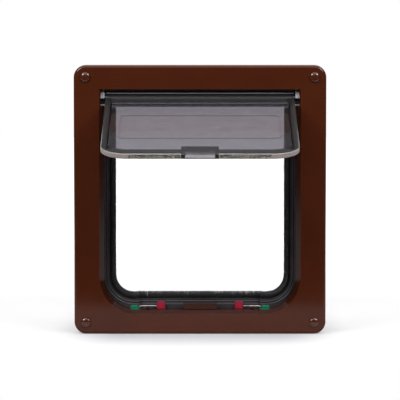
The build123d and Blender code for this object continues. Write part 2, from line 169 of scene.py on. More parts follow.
class NodeBoard:
    """The node tree of one material, with short ways to lay the nodes it needs."""

    def __init__(self, name: str) -> None:
        """Starts an empty material.

        Args:
            name: The material's name.
        """
        self.material = bpy.data.materials.new(name)
        self.material.use_nodes = True
        self.tree = self.material.node_tree
        self.tree.nodes.clear()
        self.out = self.add("ShaderNodeOutputMaterial")
        self.own = self.add("ShaderNodeTexCoord").outputs["Object"]

    def add(self, kind: str, **settings: object) -> bpy.types.Node:
        """Adds a node.

        Args:
            kind: The node's type.
            settings: Properties to set on it.

        Returns:
            The new node.
        """
        node = self.tree.nodes.new(kind)
        for key, value in settings.items():
            setattr(node, key, value)
        return node

    def join(self, source: Socket, target: Socket) -> None:
        """Links an output to an input."""
        self.tree.links.new(source, target)

    def noise(self, scale: float, detail: float = 3.0, stretch: Triple = (1, 1, 1)) -> Socket:
        """Cloudy noise on the piece's own coordinates.

        Args:
            scale: Clouds per metre.
            detail: Number of finer layers.
            stretch: How many times closer the clouds lie along each axis.

        Returns:
            A number round 0.5, as an output socket.
        """
        mapping = self.add("ShaderNodeMapping")
        mapping.inputs["Scale"].default_value = stretch
        clouds = self.add("ShaderNodeTexNoise")
        clouds.inputs["Scale"].default_value = scale
        clouds.inputs["Detail"].default_value = detail
        self.join(self.own, mapping.inputs["Vector"])
        self.join(mapping.outputs["Vector"], clouds.inputs["Vector"])
        return clouds.outputs["Fac"]

    def parts(self) -> list[Socket]:
        """X, Y and Z of the piece's own coordinates.

        Returns:
            The three numbers, as output sockets.
        """
        apart = self.add("ShaderNodeSeparateXYZ")
        self.join(self.own, apart.inputs["Vector"])
        return list(apart.outputs)

    def spread(self, value: Socket, source: Span, target: Span) -> Socket:
        """Carries a number evenly from one range to another, held at the ends."""
        return ramp(self.tree, value, source, target, smooth=False)

    def tint(self, share: Socket, low: Colour | Socket, high: Colour | Socket) -> Socket:
        """Goes from one colour to another.

        Args:
            share: 0 for the first colour, 1 for the second.
            low: The first colour.
            high: The second colour.

        Returns:
            The colour, as an output socket.
        """
        node = self.add("ShaderNodeMix", data_type="RGBA")
        self.join(share, node.inputs[MIX_SHARE])
        for slot, colour in ((MIX_LOW, low), (MIX_HIGH, high)):
            if isinstance(colour, Socket):
                self.join(colour, node.inputs[slot])
            else:
                node.inputs[slot].default_value = (*colour, 1)
        return node.outputs[MIX_RESULT]

    def relief(self, height: Socket, strength: float, depth: float) -> Socket:
        """Small bumps of the surface.

        Args:
            height: The height, from 0 to 1.
            strength: How much of the relief shows.
            depth: What a height of 1 is, in metres.

        Returns:
            The bent normal, as an output socket.
        """
        node = self.add("ShaderNodeBump")
        node.inputs["Strength"].default_value = strength
        node.inputs["Distance"].default_value = depth
        self.join(height, node.inputs["Height"])
        return node.outputs["Normal"]

    def surface(self, **constants: object) -> bpy.types.Node:
        """Adds the shader that the surface shows.

        Args:
            constants: Values for its sockets, with _ for a space in the names.

        Returns:
            The shader node.
        """
        shader = self.add("ShaderNodeBsdfPrincipled")
        for key, value in constants.items():
            shader.inputs[key.replace("_", " ")].default_value = value
        self.join(shader.outputs["BSDF"], self.out.inputs["Surface"])
        return shader


@dataclass(frozen=True)
class MouldedPlastic:
    """Moulded plastic: a colour that drifts a little, a fine grain and an uneven gloss."""

    name: str
    deep: Colour
    pale: Colour
    roughness: Span
    shine: float = 0.5
    grain: float = 0.08
    grain_scale: float = 2600.0
    grain_depth: float = 0.05 * MM
    drift_scale: float = 24.0
    gloss_scale: float = 70.0
    grain_detail: float = 2.0
    drift_detail: float = 4.0
    gloss_detail: float = 5.0

    def colour(self, board: NodeBoard) -> Socket:
        """The drifting colour, as an output socket."""
        drift = board.spread(board.noise(self.drift_scale, self.drift_detail), CLOUDS, (0.0, 1.0))
        return board.tint(drift, self.deep, self.pale)

    def gloss(self, board: NodeBoard) -> Socket:
        """The uneven roughness, as an output socket."""
        return board.spread(board.noise(self.gloss_scale, self.gloss_detail), CLOUDS, self.roughness)

    def material(self) -> bpy.types.Material:
        """Builds the material.

        Returns:
            The material.
        """
        board = NodeBoard(self.name)
        shader = board.surface(IOR=PLASTIC_IOR, Specular_IOR_Level=self.shine)
        clouds = board.noise(self.grain_scale, self.grain_detail)
        grain = board.relief(clouds, self.grain, self.grain_depth)
        board.join(self.colour(board), shader.inputs["Base Color"])
        board.join(self.gloss(board), shader.inputs["Roughness"])
        board.join(grain, shader.inputs["Normal"])
        return board.material


@dataclass(frozen=True)
class PaintedShadePlastic(MouldedPlastic):
    """Moulded plastic with shade painted into its colour in one zone, where the colour is darkened."""

    painted_shade_share: float = 0.5

    def zone(self, board: NodeBoard, x: Socket, y: Socket, z: Socket) -> Socket:
        """1 where the shade is painted, else 0, from a point's X, Y and Z: each kind says where."""
        raise NotImplementedError

    def colour(self, board: NodeBoard) -> Socket:
        """The drifting colour, darkened by painted shade in the zone.

        Args:
            board: The material's node board.

        Returns:
            The colour, as an output socket.
        """
        # Painted shade: the colour is darkened in the zone.
        inside = self.zone(board, *board.parts())
        share = board.spread(inside, (0.0, 1.0), (1.0, self.painted_shade_share))
        scaled = board.add("ShaderNodeVectorMath", operation="SCALE")
        board.join(super().colour(board), scaled.inputs[0])
        board.join(share, scaled.inputs["Scale"])
        return scaled.outputs["Vector"]


@dataclass(frozen=True)
class PaintedShadeFrameMoulding(PaintedShadePlastic):
    """Moulded plastic with painted shade inside the opening, where its colour is darkened."""

    painted_shade_share: float = 0.55
    opening_half: float = 108.4 * MM
    opening_middle: float = -2.2 * MM
    opening_high: float = 121.6 * MM
    front: float = -14.5 * MM

    def zone(self, board: NodeBoard, x: Socket, y: Socket, z: Socket) -> Socket:
        """1 inside the opening and behind the frame's front, where the shade is painted, else 0.

        Args:
            board: The material's node board.
            x: X of the point.
            y: Y of the point.
            z: Z of the point.

        Returns:
            The share, as an output socket.
        """
        tree = board.tree
        wide = figure(tree, "COMPARE", x, 0.0, self.opening_half)
        high = figure(tree, "COMPARE", z, self.opening_middle, self.opening_high)
        deep = figure(tree, "GREATER_THAN", y, self.front)
        return figure(tree, "MULTIPLY", figure(tree, "MULTIPLY", wide, high), deep)


@dataclass(frozen=True)
class PaintedShadeBearingMoulding(PaintedShadePlastic):
    """Moulded plastic with painted shade on its lower jaw, standing in for a deep slot in shade, and light
    again along its lowest edge.
    """

    painted_shade_share: float = 0.05
    jaw_middle: float = 104.4 * MM
    jaw_high: float = 2.0 * MM

    def zone(self, board: NodeBoard, x: Socket, y: Socket, z: Socket) -> Socket:
        """1 in the lower jaw above its lowest edge, where the shade is painted, else 0."""
        return figure(board.tree, "COMPARE", z, self.jaw_middle, self.jaw_high)


@dataclass(frozen=True)
class FlapZones:
    """The thick parts and the outer wall of the flap, found from a point's own place.

    The borders, the barrel, the bead and the pocket are bands of a point's distance from the
    middle line or of its way down the flap.
    """

    half: float = 101.0 * MM
    length: float = 217.6 * MM
    corner: float = 28.0 * MM
    hinge_z: float = 107.4 * MM
    raised: float = RAISED
    side_band: float = 7.7 * MM
    low_band: float = 16.8 * MM
    barrel: float = 8.0 * MM
    bead: Span = (24.0 * MM, 2.1 * MM)
    pocket: Span = (19.0 * MM, 28.0 * MM)
    wall: float = 0.7 * MM
    wall_start: Span = (100.0 * MM, 196.0 * MM)
    step: float = 1.8 * MM
    inner_satin: float = 0.5
    bead_satin: float = 0.4

    def place(self, board: NodeBoard) -> tuple[Socket, Socket]:
        """A point's distance from the middle line, and its way down the flap.

        The way is how far the point lies from the hinge line along the raised flap: minus Y times
        the sine of its lift, and its drop below the hinge times the cosine.

        Args:
            board: The material's node board.

        Returns:
            The two lengths, as output sockets.
        """
        x, y, z = board.parts()
        fall = math.cos(self.raised)
        drop = figure(board.tree, "MULTIPLY_ADD", z, -fall, fall * self.hinge_z)
        down = figure(board.tree, "MULTIPLY_ADD", y, -math.sin(self.raised), drop)
        return figure(board.tree, "ABSOLUTE", x), down

    def painted_step_line(self, board: NodeBoard) -> Socket:
        """1 along the step at the inner edge of the two side borders, where a dark line is painted, 0
        elsewhere.

        Args:
            board: The material's node board.

        Returns:
            The share, as an output socket.
        """
        tree = board.tree
        off, down = self.place(board)
        line = figure(tree, "COMPARE", off, self.half - self.side_band + self.step / 2, self.step / 2)
        past_bead = figure(tree, "GREATER_THAN", down, sum(self.bead))
        border = figure(tree, "LESS_THAN", down, self.length - self.low_band)
        return figure(tree, "MULTIPLY", line, figure(tree, "MULTIPLY", past_bead, border))

    def thick(self, board: NodeBoard) -> Socket:
        """How satin a point is: up to 1 in the border, the barrel and the magnet's pocket.

        It is less towards the side borders' inner edges and on the bead, and 0 in the thin sheet.

        Args:
            board: The material's node board.

        Returns:
            The share, as an output socket.
        """
        tree = board.tree
        off, down = self.place(board)
        inner = self.half - self.side_band
        zones = [
            figure(
                tree,
                "MULTIPLY",
                figure(tree, "GREATER_THAN", off, inner),
                ramp(tree, off, (inner, self.half), (self.inner_satin, 1.0)),
            ),
            figure(tree, "GREATER_THAN", down, self.length - self.low_band),
            figure(tree, "LESS_THAN", down, self.barrel),
            figure(tree, "MULTIPLY", figure(tree, "COMPARE", down, *self.bead), self.bead_satin),
            figure(
                tree,
                "MULTIPLY",
                figure(tree, "LESS_THAN", off, self.pocket[0]),
                figure(tree, "GREATER_THAN", down, self.length - self.pocket[1]),
            ),
        ]
        whole = zones[0]
        for zone in zones[1:]:
            whole = figure(tree, "MAXIMUM", whole, zone)
        return whole

    def outer_wall(self, board: NodeBoard) -> Socket:
        """1 at the outer wall of the flap's lower edge and corners, 0 within and beside the pocket.

        The distance from the round-cornered outline is the length of the part of a point's
        place that lies past the corner's centre, less the corner's radius.

        Args:
            board: The material's node board.

        Returns:
            The share, as an output socket.
        """
        tree = board.tree
        off, down = self.place(board)
        past_x = figure(tree, "SUBTRACT", off, self.half - self.corner)
        past_s = figure(tree, "SUBTRACT", down, self.length - self.corner)
        squares = [
            figure(tree, "POWER", figure(tree, "MAXIMUM", past, 0.0), 2.0) for past in (past_x, past_s)
        ]
        reach = figure(tree, "SQRT", figure(tree, "ADD", *squares))
        wall = board.spread(reach, (self.corner - self.wall, self.corner - self.wall / 2), (0.0, 1.0))
        lower = ramp(tree, down, self.wall_start, (0.0, 1.0))
        beside = figure(tree, "GREATER_THAN", off, self.pocket[0])
        return figure(tree, "MULTIPLY", wall, figure(tree, "MULTIPLY", lower, beside))


@dataclass(frozen=True)
class SmokedPlastic:
    """Clear plastic that darkens with its thickness, with a faint haze of handling.

    It is satin where it is thick and frosted at its lower edge, and has a painted dark line along the side
    borders' inner step, standing in for the refraction there.
    """

    name: str
    passes: Colour
    density: float
    roughness: Span
    zones: FlapZones = FlapZones()
    satin: float = 0.5
    haze: Colour = (0.85, 0.85, 0.88)
    haze_clear: float = 0.985
    frost: Colour = (0.37, 0.32, 0.30)
    frost_clear: float = 0.15
    # Painted shade: the dark line along the side borders' inner step.
    step: Colour = (0.12, 0.11, 0.13)
    haze_scale: float = 45.0
    wave_scale: float = 16.0
    wave_depth: float = 0.12 * MM
    wave_strength: float = 0.15
    wave_detail: float = 1.0
    haze_clouds: Span = (0.35, 0.75)
    haze_detail: float = 6.0

    def material(self) -> bpy.types.Material:
        """Builds the material.

        Returns:
            The material.
        """
        board = NodeBoard(self.name)
        shader = board.surface(IOR=PLASTIC_IOR)
        smears = board.noise(self.haze_scale, self.haze_detail)
        haze = board.spread(smears, self.haze_clouds, self.roughness)
        # Painted shade along the step, standing in for its refraction.
        step = self.zones.painted_step_line(board)
        satin = figure(board.tree, "MULTIPLY", self.zones.thick(board), self.satin)
        satin = figure(board.tree, "MULTIPLY", satin, figure(board.tree, "SUBTRACT", 1.0, step))
        swell = board.noise(self.wave_scale, self.wave_detail)
        wave = board.relief(swell, self.wave_strength, self.wave_depth)
        wall = self.zones.outer_wall(board)
        clear = board.spread(wall, (0.0, 1.0), (self.haze_clear, self.frost_clear))
        board.join(figure(board.tree, "MAXIMUM", haze, satin), shader.inputs["Roughness"])
        board.join(wave, shader.inputs["Normal"])
        board.join(clear, shader.inputs["Transmission Weight"])
        edged = board.tint(wall, self.haze, self.frost)
        board.join(board.tint(step, edged, self.step), shader.inputs["Base Color"])
        inside = board.add("ShaderNodeVolumeAbsorption")
        inside.inputs["Color"].default_value = (*self.passes, 1)
        inside.inputs["Density"].default_value = self.density
        board.join(inside.outputs["Volume"], board.out.inputs["Volume"])
        return board.material


@dataclass(frozen=True)
class FibreFinish:
    """Many fibres, each with its own shade, that go from a root colour to a tip colour."""

    name: str
    root: Colour
    dark_tip: Colour
    pale_tip: Colour
    roughness: float
    sheen: float
    sheen_roughness: float = 0.4
    root_fade: Span = (0.05, 0.7)

    def material(self) -> bpy.types.Material:
        """Builds the material, which reads each fibre's shade and the way along it.

        Returns:
            The material.
        """
        board = NodeBoard(self.name)
        shader = board.surface(
            Roughness=self.roughness, Sheen_Weight=self.sheen, Sheen_Roughness=self.sheen_roughness
        )
        shade = board.add("ShaderNodeAttribute", attribute_name="shade").outputs["Fac"]
        along = board.add("ShaderNodeAttribute", attribute_name="along").outputs["Fac"]
        tips = board.tint(shade, self.dark_tip, self.pale_tip)
        past_root = board.spread(along, self.root_fade, (0.0, 1.0))
        board.join(board.tint(past_root, self.root, tips), shader.inputs["Base Color"])
        return board.material


@dataclass(frozen=True)
class DrawnSteel:
    """Drawn and plated steel, with fine lines along its length."""

    name: str
    dull: Colour
    bright: Colour
    roughness: Span
    line_scale: float = 600.0
    line_stretch: Triple = (0.06, 1.0, 1.0)
    line_detail: float = 3.0
    line_strength: float = 0.15
    line_depth: float = 0.03 * MM

    def material(self) -> bpy.types.Material:
        """Builds the material.

        Returns:
            The material.
        """
        board = NodeBoard(self.name)
        shader = board.surface(Metallic=1.0)
        lines = board.noise(self.line_scale, self.line_detail, self.line_stretch)
        share = board.spread(lines, CLOUDS, (0.0, 1.0))
        grooves = board.relief(lines, self.line_strength, self.line_depth)
        board.join(board.tint(share, self.dull, self.bright), shader.inputs["Base Color"])
        board.join(board.spread(lines, CLOUDS, self.roughness), shader.inputs["Roughness"])
        board.join(grooves, shader.inputs["Normal"])
        return board.material


class Look(Enum):
    """The finishes, each with the record's material slot that it belongs to."""

    BROWN = (
        "brown_plastic",
        # The frame's moulding carries painted shade inside the opening.
        PaintedShadeFrameMoulding(
            "brown_moulding_painted_shade", (0.052, 0.0108, 0.0032), (0.060, 0.0128, 0.0042), (0.11, 0.14), shine=0.3
        ),
    )
    CAP = (
        "brown_plastic",
        MouldedPlastic(
            "brown_cap_moulding", (0.052, 0.0110, 0.0034), (0.060, 0.0128, 0.0042), (0.06, 0.09), shine=0.65
        ),
    )
    SMOKED = (
        "smoked_flap",
        SmokedPlastic("smoked_clear_plastic", (0.575, 0.55, 0.59), 1000.0, (0.02, 0.07)),
    )
    LIGHT_GREY = (
        "light_grey_plastic",
        MouldedPlastic("light_grey_moulding", (0.40, 0.39, 0.41), (0.50, 0.48, 0.50), (0.25, 0.38)),
    )
    BEARING = (
        "light_grey_plastic",
        # The bearing's lower jaw carries painted shade.
        PaintedShadeBearingMoulding("bearing_moulding_painted_shade", (0.40, 0.39, 0.41), (0.50, 0.48, 0.50), (0.25, 0.38)),
    )
    DARK_GREY = (
        "dark_grey_plastic",
        MouldedPlastic(
            "dark_grey_moulding", (0.022, 0.019, 0.022), (0.034, 0.029, 0.033), (0.34, 0.46), grain=0.2
        ),
    )
    BRISTLE = (
        "black_bristle",
        FibreFinish(
            "black_bristles", (0.006, 0.005, 0.005), (0.006, 0.005, 0.005), (0.022, 0.019, 0.020), 0.5, 0.1
        ),
    )
    PILE = (
        "grey_pile",
        FibreFinish("grey_pile", (0.40, 0.36, 0.33), (0.12, 0.10, 0.10), (0.90, 0.85, 0.76), 0.7, 0.3),
    )
    STEEL = (
        "steel",
        DrawnSteel("plated_steel", (0.36, 0.33, 0.33), (0.46, 0.42, 0.42), (0.26, 0.40)),
    )
    MAGNET = (
        "magnet",
        MouldedPlastic("coated_magnet", (0.030, 0.029, 0.031), (0.042, 0.041, 0.043), (0.32, 0.45)),
    )
    GREEN = (
        "green_plastic",
        MouldedPlastic("green_tab_moulding", (0.002, 0.17, 0.070), (0.004, 0.21, 0.092), (0.3, 0.4), 0.3),
    )
    RED = (
        "red_plastic",
        MouldedPlastic("red_tab_moulding", (0.25, 0.008, 0.024), (0.31, 0.011, 0.033), (0.3, 0.4), 0.3),
    )

    @property
    def slot(self) -> str:
        """The record's material slot."""
        return self.value[0]

    @property
    def finish(self) -> MouldedPlastic | SmokedPlastic | FibreFinish | DrawnSteel:
        """What makes the material."""
        return self.value[1]


class FinishShelf:
    """The finished materials, each made once and handed out by look."""

    def __init__(self) -> None:
        """Makes every material."""
        self.made = {look: look.finish.material() for look in Look}

    def dress_node(self, node: str, look: Look) -> None:
        """Puts a finish on a node of the solid model.

        Args:
            node: The node's name.
            look: Its finish.
        """
        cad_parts[node].data.materials.clear()
        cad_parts[node].data.materials.append(self.made[look])
        LOG.info("%s dressed in %s", node, self.made[look].name)

    def dress_piece(self, piece: bpy.types.Object, look: Look, body: str, *nodes: str) -> None:
        """Finishes a new piece and says what it rides on and stands for.

        Args:
            piece: The new piece.
            look: Its finish.
            body: The body that it moves with.
            nodes: The nodes of the solid model that it stands for.
        """
        piece.data.materials.append(self.made[look])
        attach(piece, body)
        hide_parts(*nodes)
        stood_for = ", ".join(nodes) or "no node"
        LOG.info("%s made, %d faces, for %s", piece.name, len(piece.data.polygons), stood_for)


def mesh_piece(name: str, points: Array, faces: list[Array], **marks: Array) -> bpy.types.Object:
    """Puts worked-out points and faces into a smooth mesh at the origin.

    Args:
        name: The piece's name.
        points: Points, one row each.
        faces: Arrays of corner numbers, each array with one face per row.
        marks: One number per point, kept on the mesh under the given name.

    Returns:
        The new object.
    """
    mesh = bpy.data.meshes.new(name)
    corners = [row for block in faces for row in block.tolist()]
    mesh.from_pydata(points.tolist(), [], corners)
    mesh.polygons.foreach_set("use_smooth", np.ones(len(mesh.polygons), bool))
    for key, values in marks.items():
        layer = mesh.attributes.new(key, "FLOAT", "POINT")
        layer.data.foreach_set("value", values.astype(np.float32))
    mesh.update()
    piece = bpy.data.objects.new(name, mesh)
    bpy.context.scene.collection.objects.link(piece)
    return piece


def tube_faces(rings: int, around: int) -> list[Array]:
    """The faces of a closed tube: a wall of four-cornered faces and one flat face at each end.

    Args:
        rings: Number of rings along the tube.
        around: Number of points in each ring.

    Returns:
        Corner numbers of the wall, of the first end and of the last one.
    """
    ring, step = np.meshgrid(np.arange(rings - 1), np.arange(around), indexing="ij")
    here = (ring * around + step).ravel()
    beside = (ring * around + (step + 1) % around).ravel()
    walls = np.stack([here, beside, beside + around, here + around], -1)
    first = np.arange(around)[None, ::-1]
    last = (rings - 1) * around + np.arange(around)[None]
    return [walls, first, last]


def joined(shapes: Array, faces: list[Array]) -> tuple[Array, list[Array]]:
    """Joins several shapes that have the same faces into one.

    Args:
        shapes: The points of every shape, shape by shape.
        faces: The faces of one shape.

    Returns:
        All the points and all the faces.
    """
    first = np.arange(len(shapes))[:, None, None] * shapes.shape[1]
    every = [(first + block[None]).reshape(-1, block.shape[1]) for block in faces]
    return shapes.reshape(-1, 3), every


def turned_surface(radii: Array, heights: Array, around: int) -> tuple[Array, list[Array]]:
    """A closed turned shape about the third axis.

    The point at step i of the profile and angle a is (r_i cos a, r_i sin a, h_i). Both ends
    are closed with one flat face.

    Args:
        radii: Radius at each step of the profile, from the lower end to the upper one.
        heights: Height at each step.
        around: Number of steps round the axis.

    Returns:
        The points and the faces.
    """
    angle = 2 * np.pi * np.arange(around) / around
    across = radii[:, None, None] * np.stack([np.cos(angle), np.sin(angle)], -1)[None]
    up = np.broadcast_to(heights[:, None, None], (len(radii), around, 1))
    points = np.concatenate([across, up], -1).reshape(-1, 3)
    return points, tube_faces(len(radii), around)


@dataclass(frozen=True)
class FibreCoat:
    """Thin pointed fibres with three flat sides, each from its root to its tip."""

    roots: Array
    tips: Array
    bend: Array
    thickness: Array
    shade: Array
    stations: tuple[float, ...] = (0.0, 0.55, 1.0)
    girths: tuple[float, ...] = (1.0, 0.9, 0.4)
    nearly_y: float = 0.9

    def piece(self, name: str) -> bpy.types.Object:
        """Makes all the fibres as one mesh.

        At a share t of its length a fibre's middle is root + t (tip - root) + t squared times
        its bend, and three corners stand round it at a third of a turn from each other, at
        half the thickness times the girth there. The first corner stands square to Y, or to X
        where the fibre runs nearly along Y. Each fibre is closed at both ends.

        Args:
            name: The piece's name.

        Returns:
            The new object, with each fibre's shade and the share along it on the points.
        """
        t = np.array(self.stations)
        girth = np.array(self.girths)
        line = self.tips - self.roots
        axis = line / np.linalg.norm(line, axis=1, keepdims=True)
        side = np.cross(axis, np.where(np.abs(axis[:, 1:2]) < self.nearly_y, [[0, 1, 0]], [[1, 0, 0]]))
        side /= np.linalg.norm(side, axis=1, keepdims=True)
        up = np.cross(axis, side)
        turn = 2 * np.pi * np.arange(3) / 3
        rim = np.cos(turn)[:, None] * side[:, None] + np.sin(turn)[:, None] * up[:, None]
        middle = self.roots[:, None] + t[:, None] * line[:, None] + t[:, None] ** 2 * self.bend[:, None]
        reach = self.thickness[:, None] / 2 * girth
        points = middle[:, :, None] + reach[:, :, None, None] * rim[:, None]
        count, rings = len(line), len(t)
        first = np.arange(count)[:, None, None] * rings * 3
        ring, corner = np.arange(rings - 1)[None, :, None] * 3, np.arange(3)[None, None]
        here = (first + ring + corner).ravel()
        beside = (first + ring + (corner + 1) % 3).ravel()
        walls = np.stack([here, beside, beside + 3, here + 3], -1)
        lower = first[:, 0] + np.array([[2, 1, 0]])
        upper = first[:, 0] + (rings - 1) * 3 + np.array([[0, 1, 2]])
        return mesh_piece(
            name,
            points.reshape(-1, 3),
            [walls, lower, upper],
            shade=np.repeat(self.shade, rings * 3),
            along=np.tile(np.repeat(t, 3), count),
        )


@dataclass
class DoorFrame:
    """The frame on the room side with the bead in its tunnel, the far one, the screws and caps."""

    shelf: FinishShelf
    cap_across: float = 10.5 * MM
    cap_height: float = 3.0 * MM
    cap_rim: float = 0.9 * MM
    cap_tip: float = 0.02
    peg_width: float = 5.4 * MM
    dome_steps: int = 14
    around: int = 40
    bead_radius: float = 1.52 * MM
    bead_half: float = 100.4 * MM
    bead_place: Span = (5.3 * MM, 115.1 * MM)
    leg_inner: Span = (101.06 * MM, 100.47 * MM)
    leg_outer: float = 102.57 * MM
    leg_deep: float = 5.9 * MM
    leg_marks: Triple = (97.0 * MM, 109.8 * MM, 116.6 * MM)
    bead_around: int = 24

    def build(self) -> None:
        """Makes the domed caps and the bead, and dresses the frames, the screws and the cover."""
        for node in ("inner_frame", "outer_frame", "sill_magnet_cover"):
            self.shelf.dress_node(node, Look.BROWN)
        self.shelf.dress_node("fixing_screws", Look.STEEL)
        self.shelf.dress_node("sill_magnet", Look.MAGNET)
        self.shelf.dress_piece(self.domed_caps(), Look.CAP, "frame", "screw_caps")
        self.shelf.dress_piece(self.roof_bead(), Look.BROWN, "frame")

    def domed_caps(self) -> bpy.types.Object:
        """Four round caps with a low dome and a square peg, one over each screw.

        Over a short straight rim the profile is a quarter of an ellipse: at angle a the radius
        is R cos a and the height is rim + (H - rim) sin a. It turns about the screw's line. The
        peg's two rings are pushed out to a square, to where their larger coordinate is half its
        width.

        Returns:
            The new object.
        """
        low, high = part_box("screw_caps")
        radius, peg = self.cap_across / 2, self.peg_width / 2
        face_y = low.y + self.cap_height
        angle = np.linspace(0, np.pi / 2, self.dome_steps)[:-1]
        radii = np.concatenate([[peg, peg, radius], radius * np.cos(angle), [radius * self.cap_tip]])
        rise = (self.cap_height - self.cap_rim) * np.sin(angle)
        heights = np.concatenate([[face_y - high.y, 0.0, 0.0], self.cap_rim + rise, [self.cap_height]])
        dome, faces = turned_surface(radii, heights, self.around)
        rings = dome[:2 * self.around, :2]
        rings *= peg / np.abs(rings).max(-1, keepdims=True)
        columns = (low.x + radius, high.x - radius)
        rows = (low.z + radius, high.z - radius)
        spots = np.array([(x, 0.0, z) for x in columns for z in rows])
        stood = np.stack([dome[:, 0], face_y - dome[:, 2], dome[:, 1]], -1)
        return mesh_piece("domed_screw_caps", *joined(spots[:, None] + stood[None], faces))

    def roof_bead(self) -> bpy.types.Object:
        """A round bead under the tunnel's roof, with a leg down each wall to the brushes.

        It keeps light out behind the hinge. The bead and its legs are circles carried along
        straight lines, the bead along X and the legs along Z. The upper half of a leg is
        thicker, as it stands clear of the flap's way there.

        Returns:
            The new object.
        """
        ends = np.array([-self.bead_half, self.bead_half])
        bar, faces = turned_surface(np.full(2, self.bead_radius), ends, self.bead_around)
        y, z = self.bead_place
        bars = [np.stack([bar[:, 2], bar[:, 0] + y, bar[:, 1] + z], -1)]
        for inner, span in zip(self.leg_inner, zip(self.leg_marks, self.leg_marks[1:])):
            radius = (self.leg_outer - inner) / 2
            middle = (self.leg_outer + inner) / 2
            leg, _ = turned_surface(np.full(2, radius), np.array(span), self.bead_around)
            bars += [leg + [side.value * middle, self.leg_deep, 0.0] for side in Side]
        return mesh_piece("roof_bead", *joined(np.stack(bars), faces))


